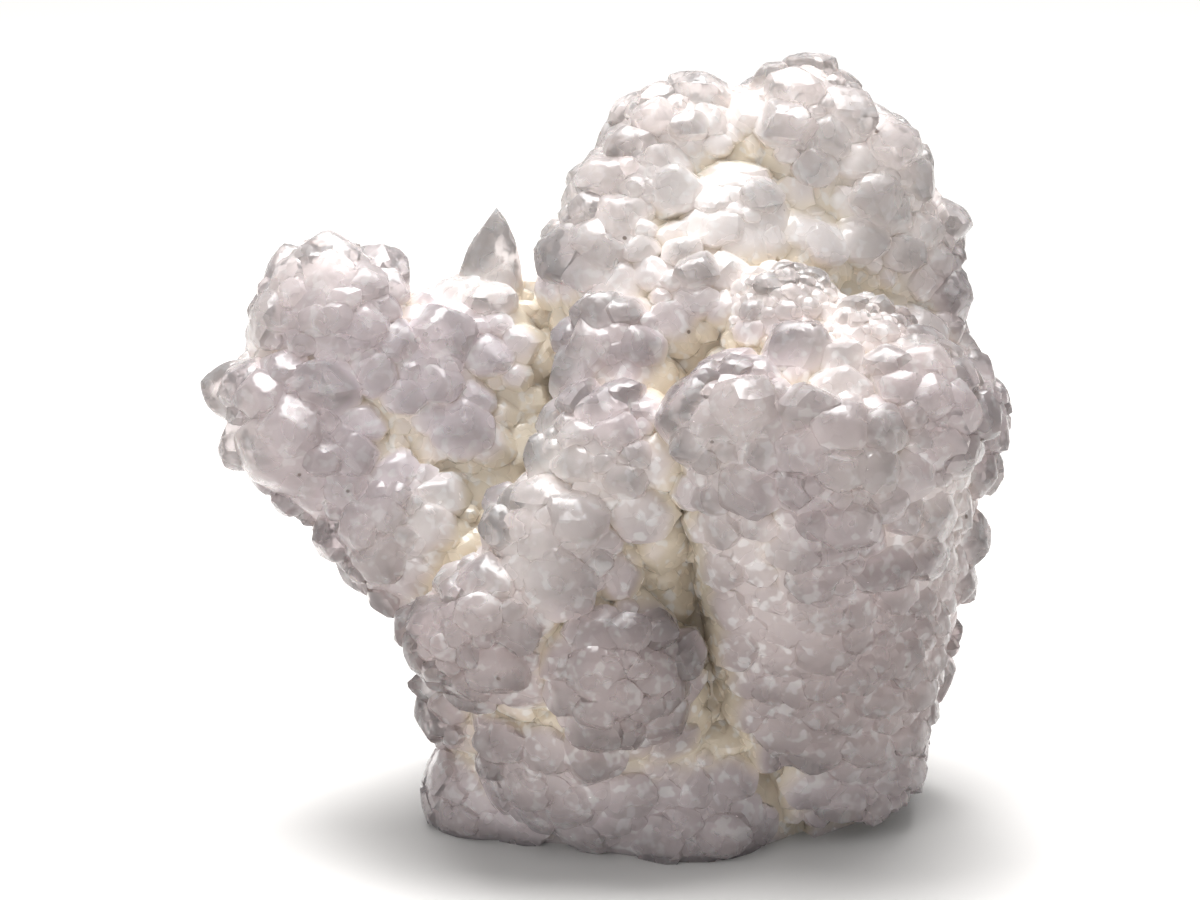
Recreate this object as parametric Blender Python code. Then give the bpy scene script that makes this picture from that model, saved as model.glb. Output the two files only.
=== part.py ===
"""A calcite cluster: one intergrown piece of stubby, blunt-pointed crystals.

The crystals grow on club-shaped lobes that fan up and out from a small, flat-cut foot. Every lobe is a
tapered capsule from its root to its crown, and the crystals sit on it in rows, like the scales of a pine
cone, larger towards the crown. The lobes and the crystals are joined into one closed solid.

Lengths below are in millimetres. X runs to the right, Y to the back and Z up. The origin is on the surface
that the cluster rests on, under the middle of its box.
"""

from dataclasses import dataclass
from functools import partial

import bmesh
import bpy
import numpy as np

MM = 0.001
SEED = 8
NODE_NAME = "calcite_cluster"

# The places below are measured from a point on the ground near the middle. The whole is then moved by
# this much, which puts the origin under the middle of its box.
BOX_MIDDLE = np.array((0.98, 3.40, 0.0))

# The core of the cluster, where most of the lobes begin.
ROOT = (8.0, 0.0, 6.0)

# Each lobe: its root, the centre of its crown, and its radius at the root and at the crown.
LOBES = {
    # The fan of lobes on the left.
    "left_low_tip": (ROOT, (-32.5, -3.0, 44.6), 7.0, 5.2),
    "left_underside": (ROOT, (-22.0, -5.0, 34.3), 8.0, 6.0),
    "left_mid_tip": (ROOT, (-31.0, 3.0, 48.0), 7.0, 5.5),
    "left_dome": (ROOT, (-29.2, 3.0, 53.5), 8.0, 6.6),
    "left_shoulder": (ROOT, (-20.0, 3.0, 48.0), 8.0, 6.5),
    "left_peak": (ROOT, (-13.0, 6.0, 50.0), 8.0, 6.0),
    "left_rear": (ROOT, (-7.0, 10.0, 50.0), 8.0, 5.5),
    # The blade in the middle, from its head down to the ledge in front.
    "centre_head": (ROOT, (2.5, -5.0, 52.5), 8.0, 4.5),
    "centre_mid": (ROOT, (1.5, -13.0, 43.0), 8.0, 6.0),
    "centre_slope": (ROOT, (-4.0, -16.0, 34.5), 7.0, 6.0),
    "centre_ledge": (ROOT, (-10.5, -18.0, 27.0), 7.0, 5.5),
    "ledge_tip": (ROOT, (-15.5, -18.5, 25.0), 5.0, 3.0),
    "ledge_right": (ROOT, (1.0, -19.0, 22.5), 7.0, 6.0),
    # The foot.
    "foot_front": ((10.0, -6.0, 4.0), (-4.0, -11.5, 11.0), 11.0, 7.8),
    "foot_left": ((8.0, -4.0, 3.0), (-12.0, -6.0, 3.0), 10.0, 5.8),
    "foot_left_upper": ((8.0, -4.0, 8.0), (-12.8, -7.0, 14.0), 8.0, 4.5),
    "foot_middle": ((14.0, -2.0, 3.0), (10.0, -10.5, 3.0), 11.0, 7.5),
    "heart": ((10.0, 0.0, 3.0), (8.0, 2.0, 30.0), 13.0, 13.0),
    # The thick club on the right, in front.
    "right_club": ((25.0, -3.5, 5.0), (23.8, -9.0, 42.0), 9.0, 13.5),
    "right_heel": ((18.0, -2.0, 3.0), (25.5, 2.0, 3.0), 10.0, 8.0),
    "right_front_left": ((22.0, -8.0, 14.0), (14.5, -17.5, 47.0), 8.0, 5.5),
    "right_front_middle": ((22.0, -8.0, 14.0), (23.5, -19.0, 45.0), 8.0, 6.0),
    "right_front_right": ((22.0, -8.0, 14.0), (31.5, -14.5, 48.5), 8.0, 6.0),
    "right_ridge": ((22.0, -6.0, 14.0), (19.5, -6.0, 55.0), 8.0, 5.5),
    "right_ridge_low": ((22.0, -6.0, 14.0), (27.0, -9.0, 51.5), 8.0, 6.0),
    # The big fan at the back, on the right.
    "rear_face": (ROOT, (10.5, 1.0, 55.5), 9.0, 7.5),
    "rear_left": (ROOT, (2.6, 4.0, 61.0), 8.0, 6.0),
    "rear_left_top": (ROOT, (4.5, 7.0, 66.5), 8.0, 5.5),
    "rear_peak_left": (ROOT, (8.5, 11.0, 71.5), 8.0, 5.5),
    "rear_saddle": ((12.0, 4.0, 6.0), (15.0, 13.0, 70.5), 9.0, 5.5),
    "rear_peak": ((14.0, 4.0, 6.0), (22.5, 13.0, 72.0), 9.0, 6.5),
    "rear_right_top": ((14.0, 4.0, 6.0), (28.2, 13.0, 67.5), 9.0, 6.3),
    "rear_right": ((16.0, 4.0, 6.0), (31.6, 13.5, 60.0), 9.0, 6.5),
    "rear_right_low": ((18.0, 3.0, 6.0), (32.5, 11.0, 49.5), 9.0, 6.5),
    "far_right": ((20.0, 2.0, 4.0), (38.0, 5.0, 43.0), 8.0, 5.0),
    "far_right_low": ((22.0, 1.0, 4.0), (34.0, 1.0, 30.0), 8.5, 5.5),
    "right_rear_low": ((22.0, 1.0, 4.0), (31.5, 4.0, 17.0), 9.0, 6.0),
    # The side that faces away.
    "back_left": (ROOT, (-13.0, 17.0, 42.0), 8.0, 7.0),
    "back_middle": (ROOT, (3.0, 22.0, 47.0), 9.0, 8.0),
    "back_right": ((14.0, 4.0, 6.0), (21.0, 23.0, 52.0), 9.0, 8.0),
    "back_low_left": (ROOT, (-8.0, 15.0, 20.0), 8.0, 7.0),
    "back_low_right": ((14.0, 2.0, 6.0), (16.0, 20.0, 22.0), 9.0, 8.0),
}
LOBE_SIDES = 12
CORE_FINENESS = 1.6
CORE_SHARE = 0.05

# The crystals that stand out: foot, direction, half width, rise to the shoulder, and length of the point.
LANDMARKS = {
    "left_peak_point": ((-12.5, 7.0, 54.5), (0.02, 0.05, 1.0), 4.6, 3.5, 9.5),
    "left_dome_cap": ((-29.5, 3.0, 57.5), (-0.1, 0.0, 1.0), 5.6, 3.6, 4.0),
    "left_smooth_egg": ((-32.5, -6.0, 41.5), (-0.8, -0.35, 0.5), 5.2, 4.4, 4.0),
    "left_pale_tip": ((-37.0, 1.0, 46.0), (-0.9, 0.0, 0.35), 4.2, 3.8, 3.6),
    "centre_head_beak": ((2.0, -6.0, 55.0), (-0.6, -0.35, 0.75), 3.8, 3.0, 4.0),
    "centre_head_boulder": ((3.0, -9.0, 50.0), (-0.15, -1.0, 0.25), 6.0, 2.0, 3.4),
    "ledge_blade": ((-12.0, -19.5, 26.0), (-0.95, -0.3, 0.1), 4.4, 3.5, 5.0),
    "ledge_block": ((-8.0, -20.0, 29.0), (-0.3, -0.8, 0.6), 5.2, 1.6, 3.4),
    "ledge_grey_boulder": ((1.5, -21.5, 23.5), (0.05, -1.0, 0.0), 5.2, 1.6, 3.2),
    "right_clear_pair_left": ((10.5, -18.0, 49.0), (-0.55, -0.75, 0.35), 5.2, 2.4, 3.6),
    "right_clear_pair_right": ((16.0, -20.0, 46.5), (-0.1, -0.95, 0.3), 5.0, 2.4, 3.4),
    "right_grey_spade": ((23.0, -22.5, 43.0), (0.0, -1.0, 0.2), 5.6, 1.4, 3.4),
    "right_corner_block": ((32.5, -15.5, 51.5), (0.3, -0.35, 0.9), 5.2, 3.2, 3.0),
    "rear_peak_cap": ((22.0, 12.5, 74.0), (0.0, -0.05, 1.0), 6.2, 3.6, 4.2),
    "rear_left_knuckle": ((3.5, 1.0, 58.0), (-0.8, -0.45, 0.35), 4.8, 1.6, 3.4),
    "foot_left_spike": ((-16.0, -9.0, 16.5), (-0.95, -0.1, 0.15), 2.8, 2.0, 3.6),
}

# How the crystals lie on the lobes. Lengths of a point and gaps are shares of a crystal's half width.
SPOT_STEP = 1.2
CLOSEST = 0.63
HALF_WIDTH_LOW, HALF_WIDTH_CROWN = 3.6, 4.3
RISE_LOW, RISE_CROWN = 0.0, 1.0
POINT_LOW, POINT_CROWN = 0.5, 0.75
LEAN_LOW, LEAN_CROWN = 0.7, 0.25
TILT_SPREAD = 0.14
SIZE_SPREAD = (0.75, 1.3)
BURIED_DEEPER_THAN = 0.9
LOWEST_FOOT = 2.0

# A crystal's outline, as shares of its half width: it widens downwards into the lobe.
CRYSTAL_SIDES = 6
BURIED_DEPTH, BURIED_WIDTH = 0.9, 1.12
TIP_SHIFT = 0.2

# The foot is cut flat here, and the solid is thinned to this many triangles.
CUT_HEIGHT = 0.0
CUT_BLOCK = 200.0
MOST_TRIANGLES = 9700


@dataclass(frozen=True)
class Crystal:
    """One crystal: where it leaves its lobe, the way it points, and its own shape."""

    foot: np.ndarray
    axis: np.ndarray
    half_width: float
    rise: float
    point: float
    turn: float = 0.4
    flatness: float = 0.92
    shift: tuple = (0.08, -0.05)


def unit(vector):
    """The vector, or each row of vectors, at length one."""
    vector = np.asarray(vector, float)
    return vector / np.linalg.norm(vector, axis=-1, keepdims=True)


def square_to(axis):
    """Two directions square to the axis and to each other."""
    helper = (0.0, 0.0, 1.0) if abs(axis[2]) < 0.8 else (0.0, 1.0, 0.0)
    side = unit(np.cross(helper, axis))
    return side, np.cross(axis, side)


def blend(low, high, share):
    """The value that share of the way from low to high."""
    return low + share * (high - low)


def depth_in_lobes(points):
    """How far each point lies inside each lobe's surface, negative outside it."""
    depths = []
    for root, crown, root_radius, crown_radius in LOBES.values():
        along = np.subtract(crown, root)
        share = np.clip((points - root) @ along / (along @ along), 0.0, 1.0)
        nearest = np.array(root) + share[:, None] * along
        depths.append(blend(root_radius, crown_radius, share) - np.linalg.norm(points - nearest, axis=1))
    return np.array(depths)


def lobe_spots(lobe):
    """A dense grid over one lobe: each spot's place, outward normal, lobe direction and share to the crown."""
    root, crown, root_radius, crown_radius = lobe
    length = np.linalg.norm(np.subtract(crown, root))
    axis = unit(np.subtract(crown, root))
    side, other = square_to(axis)
    ways = np.arange(0.0, length + crown_radius * np.pi / 2, SPOT_STEP)
    angles = np.arange(0.0, 2 * np.pi, SPOT_STEP / crown_radius)
    way, angle = (grid.ravel() for grid in np.meshgrid(ways, angles))
    share = np.clip(way / length, 0.0, 1.0)
    rise = np.maximum(way - length, 0.0) / crown_radius
    outward = np.outer(np.cos(angle), side) + np.outer(np.sin(angle), other)
    normal = outward * np.cos(rise)[:, None] + np.outer(np.sin(rise), axis)
    place = np.array(root) + np.outer(share * length, axis)
    place += normal * blend(root_radius, crown_radius, share)[:, None]
    return place, normal, np.broadcast_to(axis, place.shape), share


def open_spots(rng):
    """The spots of all lobes that lie on the outside of the whole, in a random order."""
    kinds = [np.concatenate(kind) for kind in zip(*map(lobe_spots, LOBES.values()))]
    place = kinds[0]
    outside = (depth_in_lobes(place) > BURIED_DEEPER_THAN).sum(axis=0) == 0
    outside &= place[:, 2] > LOWEST_FOOT
    chosen = rng.permutation(np.flatnonzero(outside))
    return zip(*(kind[chosen] for kind in kinds))


def crystal_at(place, normal, along, share, rng):
    """A crystal for one spot, larger and steeper on a crown and leaning up the lobe below it."""
    size = blend(HALF_WIDTH_LOW, HALF_WIDTH_CROWN, share**2) * rng.uniform(*SIZE_SPREAD)
    lean = normal + blend(LEAN_LOW, LEAN_CROWN, share) * along + rng.normal(0, TILT_SPREAD, 3)
    rise = blend(RISE_LOW, RISE_CROWN, share**3) * rng.uniform(0.3, 1.7)
    point = size * blend(POINT_LOW, POINT_CROWN, share) * rng.uniform(0.8, 1.2)
    flatness = rng.uniform(0.75, 1.0)
    shift = tuple(rng.uniform(-TIP_SHIFT, TIP_SHIFT, 2))
    return Crystal(place, unit(lean), size, rise, point, rng.uniform(0, np.pi), flatness, shift)


def all_crystals():
    """The landmarks, and crystals on every open spot that no neighbour crowds."""
    rng = np.random.default_rng(SEED)
    kept = [Crystal(np.array(foot), unit(axis), *sizes) for foot, axis, *sizes in LANDMARKS.values()]
    feet = [crystal.foot for crystal in kept]
    sizes = [crystal.half_width for crystal in kept]
    for place, normal, along, share in open_spots(rng):
        crystal = crystal_at(place, normal, along, share, rng)
        gaps = np.linalg.norm(np.array(feet) - crystal.foot, axis=1)
        if (gaps > CLOSEST * (np.array(sizes) + crystal.half_width)).all():
            kept.append(crystal)
            feet.append(crystal.foot)
            sizes.append(crystal.half_width)
    return kept


def ring(centre, side, other, radius, flatness, sides, turn):
    """The corners of a flat polygon round a centre."""
    angles = turn + 2 * np.pi * np.arange(sides) / sides
    return centre + radius * (np.outer(np.cos(angles), side) + flatness * np.outer(np.sin(angles), other))


def skin(mesh_edit, rings, tip=None):
    """Adds a closed surface over rings of corners, ended by a point or by the last ring's own face."""
    rows = [[mesh_edit.verts.new((corner - BOX_MIDDLE) * MM) for corner in corners] for corners in rings]
    mesh_edit.faces.new(rows[0][::-1])
    for low, high in zip(rows, rows[1:]):
        for number in range(len(low)):
            after = (number + 1) % len(low)
            mesh_edit.faces.new((low[number], low[after], high[after], high[number]))
    if tip is None:
        mesh_edit.faces.new(rows[-1])
        return
    point = mesh_edit.verts.new((tip - BOX_MIDDLE) * MM)
    for number in range(len(rows[-1])):
        mesh_edit.faces.new((rows[-1][number], rows[-1][(number + 1) % len(rows[-1])], point))


def add_crystal(mesh_edit, crystal):
    """A six-sided crystal that ends in a point of three rhombs, as calcite does.

    The shoulder's corners stand a third of the point's length above and below its middle by turns, which
    is what makes each pair of neighbouring faces over it one flat rhomb.
    """
    side, other = square_to(crystal.axis)
    size = crystal.half_width
    upright = crystal.axis + (crystal.shift[0] * side + crystal.shift[1] * other)

    def level(height, width):
        centre = crystal.foot + upright * height
        return ring(centre, side, other, width * size, crystal.flatness, CRYSTAL_SIDES, crystal.turn)

    zigzag = crystal.point / 3 * (-1.0) ** np.arange(CRYSTAL_SIDES)
    rings = [
        level(-BURIED_DEPTH * size, BURIED_WIDTH),
        level(crystal.rise, 1.0) + np.outer(zigzag, upright),
    ]
    skin(mesh_edit, rings, crystal.foot + upright * (crystal.rise + crystal.point))


def add_lobe(mesh_edit, lobe):
    """A tapered capsule with a rounded crown."""
    root, crown, root_radius, crown_radius = lobe
    root, crown = np.array(root), np.array(crown)
    axis = unit(crown - root)
    side, other = square_to(axis)
    rings = [ring(root, side, other, root_radius, 1.0, LOBE_SIDES, 0.0)]
    for angle in np.radians((0.0, 35.0, 65.0)):
        centre = crown + axis * crown_radius * np.sin(angle)
        rings.append(ring(centre, side, other, crown_radius * np.cos(angle), 1.0, LOBE_SIDES, 0.0))
    skin(mesh_edit, rings, crown + axis * crown_radius)


def mesh_object(name, fill):
    """An object whose mesh the function fill makes."""
    mesh_edit = bmesh.new()
    fill(mesh_edit)
    bmesh.ops.recalc_face_normals(mesh_edit, faces=mesh_edit.faces)
    mesh = bpy.data.meshes.new(name)
    mesh_edit.to_mesh(mesh)
    mesh_edit.free()
    made = bpy.data.objects.new(name, mesh)
    bpy.context.scene.collection.objects.link(made)
    return made


def fill_lobes(mesh_edit):
    for lobe in LOBES.values():
        add_lobe(mesh_edit, lobe)


def fill_cut_block(mesh_edit):
    """The block that cuts the foot flat."""
    low, high = (CUT_HEIGHT - CUT_BLOCK) * MM, CUT_HEIGHT * MM
    for corner in bmesh.ops.create_cube(mesh_edit, size=CUT_BLOCK * MM)["verts"]:
        corner.co.z = high if corner.co.z > 0 else low


def calcite_material():
    """Milky calcite with a faint warm pink cast."""
    material = bpy.data.materials.new("milky_calcite")
    material.use_nodes = True
    shader = material.node_tree.nodes["Principled BSDF"]
    shader.inputs["Base Color"].default_value = (0.74, 0.66, 0.63, 1.0)
    shader.inputs["Roughness"].default_value = 0.3
    shader.inputs["Metallic"].default_value = 0.0
    shader.inputs["IOR"].default_value = 1.55
    return material


def add_union(target, operands):
    """Joins the operands to the target, by the solver that copes with this many crossing shapes."""
    group = bpy.data.collections.new("joined_shapes")
    for operand in operands:
        group.objects.link(operand)
    modifier = target.modifiers.new("join_crystals", "BOOLEAN")
    modifier.operation = "UNION"
    modifier.solver = "MANIFOLD"
    modifier.operand_type = "COLLECTION"
    modifier.collection = group


def body_round(corner, seen):
    """All the corners that edges join to this one. They are added to seen."""
    body = [corner]
    seen.add(corner)
    for reached in body:
        for edge in reached.link_edges:
            neighbour = edge.other_vert(reached)
            if neighbour not in seen:
                seen.add(neighbour)
                body.append(neighbour)
    return body


def drop_bubbles(mesh):
    """Removes the tiny closed bubbles that joining leaves between crystals inside the solid."""
    mesh_edit = bmesh.new()
    mesh_edit.from_mesh(mesh)
    seen = set()
    bodies = [body_round(corner, seen) for corner in mesh_edit.verts if corner not in seen]
    largest = max(bodies, key=len)
    bubbles = [corner for body in bodies if body is not largest for corner in body]
    bmesh.ops.delete(mesh_edit, geom=bubbles, context="VERTS")
    bmesh.ops.triangulate(mesh_edit, faces=mesh_edit.faces)
    mesh_edit.to_mesh(mesh)
    mesh_edit.free()


def evaluated_mesh(shape):
    """A new mesh with the object's modifiers in it."""
    graph = bpy.context.evaluated_depsgraph_get()
    return bpy.data.meshes.new_from_object(shape.evaluated_get(graph), depsgraph=graph)


def joined_mesh():
    """The outer surface of all the shapes as one closed mesh."""
    joined = mesh_object("lobes", fill_lobes)
    crystals = [
        mesh_object(f"crystal_{number}", partial(add_crystal, crystal=crystal))
        for number, crystal in enumerate(all_crystals())
    ]
    fuse = joined.modifiers.new("fuse_lobes", "REMESH")
    fuse.mode = "VOXEL"
    fuse.voxel_size = CORE_FINENESS * MM
    coarse = joined.modifiers.new("coarse_core", "DECIMATE")
    coarse.ratio = CORE_SHARE
    add_union(joined, crystals)
    mesh = evaluated_mesh(joined)
    for shape in (joined, *crystals):
        bpy.data.objects.remove(shape, do_unlink=True)
    drop_bubbles(mesh)
    return mesh


def build_cluster():
    """The whole cluster as one object, thinned where its faces are flat and cut level under its foot."""
    mesh = joined_mesh()
    mesh.materials.clear()
    mesh.materials.append(calcite_material())
    cluster = bpy.data.objects.new(NODE_NAME, mesh)
    bpy.context.scene.collection.objects.link(cluster)
    thin = cluster.modifiers.new("thin", "DECIMATE")
    thin.ratio = min(1.0, MOST_TRIANGLES / len(mesh.polygons))
    block = mesh_object("foot_cutter", fill_cut_block)
    block.hide_render = True
    block.display_type = "WIRE"
    foot = cluster.modifiers.new("flat_foot", "BOOLEAN")
    foot.operation = "DIFFERENCE"
    foot.object = block
    return cluster


def main():
    for old in list(bpy.data.objects):
        bpy.data.objects.remove(old, do_unlink=True)
    build_cluster()


if __name__ == "__main__":
    main()
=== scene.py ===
"""The looks of the calcite cluster: its crystals, its milky and clear stone, and a plain studio round it.

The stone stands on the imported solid's own lobes and has its landmark crystals. It is drawn by two pieces: the
glassy crystals, which are partly clear, and the clouded stone that shows through them. Lengths are in
millimetres while the shapes are worked out, and in metres in the meshes. X runs right, Y back and Z up.
"""

import logging
import math
from dataclasses import dataclass, field
from enum import Enum

import bmesh
import bpy
import numpy as np
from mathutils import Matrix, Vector


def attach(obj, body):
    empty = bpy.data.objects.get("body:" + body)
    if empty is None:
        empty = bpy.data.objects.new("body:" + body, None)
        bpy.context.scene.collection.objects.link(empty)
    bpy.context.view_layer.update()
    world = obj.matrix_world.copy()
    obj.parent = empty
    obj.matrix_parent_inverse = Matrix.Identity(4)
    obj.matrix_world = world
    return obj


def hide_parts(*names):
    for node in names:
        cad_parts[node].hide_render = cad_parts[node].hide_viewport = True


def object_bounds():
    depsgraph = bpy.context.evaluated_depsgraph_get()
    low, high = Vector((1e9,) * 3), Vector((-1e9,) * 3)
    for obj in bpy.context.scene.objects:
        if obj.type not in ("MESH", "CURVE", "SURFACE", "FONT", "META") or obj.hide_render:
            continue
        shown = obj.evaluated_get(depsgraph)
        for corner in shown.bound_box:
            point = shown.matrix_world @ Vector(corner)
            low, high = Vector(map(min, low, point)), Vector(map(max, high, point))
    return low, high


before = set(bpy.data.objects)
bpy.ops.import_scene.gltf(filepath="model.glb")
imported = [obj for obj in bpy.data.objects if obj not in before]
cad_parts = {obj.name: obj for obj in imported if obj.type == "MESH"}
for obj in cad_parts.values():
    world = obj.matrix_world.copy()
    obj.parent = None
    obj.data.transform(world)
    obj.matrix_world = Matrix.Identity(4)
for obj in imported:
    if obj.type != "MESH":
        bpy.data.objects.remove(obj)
CAD_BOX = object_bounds()

MM = 0.001
LOG = logging.getLogger("calcite_scene")
Array = np.ndarray
Point = tuple[float, float, float]
Settings = dict[str | int, object]
Links = dict[str | int, bpy.types.NodeSocket]
Measures = dict[str, bpy.types.NodeSocket]

# A direction that rises more steeply than this takes Y as its helper, because Z lies too close to it.
NEARLY_UPRIGHT = 0.8

# How a Map Range node runs, and its inputs for the ends of the range it reads and the one it gives.
SMOOTH = {"interpolation_type": "SMOOTHSTEP"}
RANGE_ENDS = ("From Min", "From Max", "To Min", "To Max")

# The sockets of a Mix node for colours: how far it goes, the colour under, the colour over, the result.
MIX_SHARE, MIX_UNDER, MIX_OVER, MIX_RESULT = 0, 6, 7, 2


class Tone(Enum):
    """The stone's colours and the studio's, as sRGB hex values. Some of the stone's colours paint in light and
    shade.
    """

    MILK = "#F3ECE9"
    LILAC = "#E3D8DC"
    CREAM = "#EFE1C6"
    GREY = "#CFC6C8"
    # Painted shade: the greyer tone laid on the lower flanks and on the sides that lie in shade.
    PAINTED_SHADE = "#BCAEAD"
    TAN = "#D2BC9F"
    STAIN = "#5B4638"
    ABSORPTION = "#EADFE2"
    FLOOR = "#E9E7E5"
    DAYLIGHT = "#FFFFFF"


def linear(tone: Tone) -> tuple[float, float, float, float]:
    """Turns an sRGB hex colour into the linear one that shaders take.

    Args:
        tone: the named colour.

    Returns:
        Red, green, blue and an alpha of one.
    """
    digits = tone.value.lstrip("#")
    parts = [int(digits[i : i + 2], 16) / 255.0 for i in (0, 2, 4)]
    red, green, blue = (c / 12.92 if c <= 0.04045 else ((c + 0.055) / 1.055) ** 2.4 for c in parts)
    return red, green, blue, 1.0


def unit(vectors: Array) -> Array:
    """Each row of vectors at length one."""
    vectors = np.asarray(vectors, float)
    return vectors / np.linalg.norm(vectors, axis=-1, keepdims=True)


def blend(low: Array | float, high: Array | float, share: Array | float) -> Array | float:
    """The value that share of the way from low to high."""
    return low + share * (high - low)


def smooth_step(low: float, high: float, value: Array) -> Array:
    """0 below low, 1 above high, and 3t^2 - 2t^3 of the share t between them."""
    share = np.clip((value - low) / (high - low), 0.0, 1.0)
    return share * share * (3.0 - 2.0 * share)


def square_to(axis: Array) -> tuple[Array, Array]:
    """Two directions square to each axis and to each other.

    Args:
        axis: unit vectors, one a row, or a single one.

    Returns:
        The cross product of a helper with the axis, and the axis crossed with that.
    """
    lying = np.abs(axis[..., 2:3]) < NEARLY_UPRIGHT
    helper = np.where(lying, (0.0, 0.0, 1.0), (0.0, 1.0, 0.0))
    side = unit(np.cross(helper, axis))
    return side, np.cross(axis, side)


@dataclass
class Crystals:
    """Many crystals, as one array for each measure, a row for each crystal.

    The measures are in millimetres and radians, and the shift is the tip's, as a share of its height. The
    single values after sharpness are shares of a crystal's half width, apart from the bevels': their slope
    is a multiple of the tip's, and they pass over the tip by bevel_drop of what they fall in bevel_out half
    widths.
    """

    foot: Array
    axis: Array
    half_width: Array
    rise: Array
    point: Array
    turn: Array
    flatness: Array
    shift: Array
    sharpness: float = 9.0
    buried: float = 1.1
    face_out: float = 0.92
    centre_down: float = 0.3
    bevel_slope: float = 2.3
    bevel_out: float = 0.9
    bevel_drop: float = 0.72

    def planes(self) -> tuple[Array, Array, Array]:
        """The flat faces of each crystal, as planes round a centre inside it.

        Six sides stand round the axis at equal angles. Three rhombs meet in the tip, each dropping by 4/3 of
        the point's length over the half width. Three steeper bevels stand between them, and one face closes
        the buried end.

        Returns:
            Centres, outward normals by crystal and face, and each face's distance from the centre.
        """
        side, other = square_to(self.axis)
        size = self.half_width
        upright = self.axis + self.shift[:, :1] * side + self.shift[:, 1:] * other
        centre = self.foot + self.axis * (self.rise - self.centre_down * size)[:, None]
        tip = self.foot + upright * (self.rise + self.point)[:, None]
        slope = 4.0 * self.point / (3.0 * size)

        def radial(angles: Array) -> Array:
            """The directions at these angles round each crystal's axis."""
            return np.cos(angles)[..., None] * side[:, None] + np.sin(angles)[..., None] * other[:, None]

        thirds = self.turn[:, None] + 2 * np.pi * np.arange(3) / 3
        sixths = self.turn[:, None] + 2 * np.pi * (np.arange(6) + 0.5) / 6
        squashed = np.cos(sixths) ** 2 + (np.sin(sixths) / self.flatness[:, None]) ** 2
        sides = radial(np.arctan2(np.sin(sixths) / self.flatness[:, None], np.cos(sixths)))
        rhombs = unit(self.axis[:, None] + slope[:, None, None] * radial(thirds))
        steeper = self.bevel_slope * slope[:, None, None]
        bevels = unit(self.axis[:, None] + steeper * radial(thirds + np.pi / 3))
        reach = tip - centre
        over = self.bevel_drop * self.bevel_slope * slope * self.bevel_out * size
        normals = np.concatenate([sides, rhombs, bevels, -self.axis[:, None]], axis=1)
        distances = np.concatenate(
            [
                self.face_out * size[:, None] / np.sqrt(squashed),
                np.einsum("nkc,nc->nk", rhombs, reach),
                np.einsum("nkc,nc->nk", bevels, reach + self.axis * over[:, None]),
                (self.rise + (self.buried - self.centre_down) * size)[:, None],
            ],
            axis=1,
        )
        return centre, normals, distances

    def surfaces(self, directions: Array) -> Array:
        """The crystals' corners, with every edge between their flat faces rounded.

        A corner in direction u stands at centre + u / s, where s is the sum over the faces of
        max(0, normal . u / distance) to the power sharpness, taken to the power 1 / sharpness.

        Args:
            directions: unit vectors, one for each corner of a round mesh.

        Returns:
            Corners by crystal.
        """
        centre, normals, distances = self.planes()
        facing = np.maximum(np.einsum("nkc,vc->nvk", normals, directions) / distances[:, None], 0.0)
        reach = (facing**self.sharpness).sum(axis=2) ** (-1.0 / self.sharpness)
        return centre[:, None] + directions[None] * reach[..., None]

    def chosen(self, keep: Array) -> "Crystals":
        """The crystals that keep, a mask, picks out."""
        names = ("foot", "axis", "half_width", "rise", "point", "turn", "flatness", "shift")
        return Crystals(**{name: getattr(self, name)[keep] for name in names})


@dataclass(frozen=True)
class Lobe:
    """A tapered capsule of stone from its root to its crown, in the cluster's own layout."""

    root: Point
    crown: Point
    root_radius: float
    crown_radius: float

    def swollen(self, more: float) -> "Lobe":
        """The same lobe with both radii larger."""
        return Lobe(self.root, self.crown, self.root_radius + more, self.crown_radius + more)


@dataclass(frozen=True)
class Landmark:
    """One crystal that stands out: its direction points from its foot to its tip."""

    foot: Point
    axis: Point
    half_width: float
    rise: float
    point: float


# The core of the cluster, where most of the lobes begin.
ROOT = (8.0, 0.0, 6.0)

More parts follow.
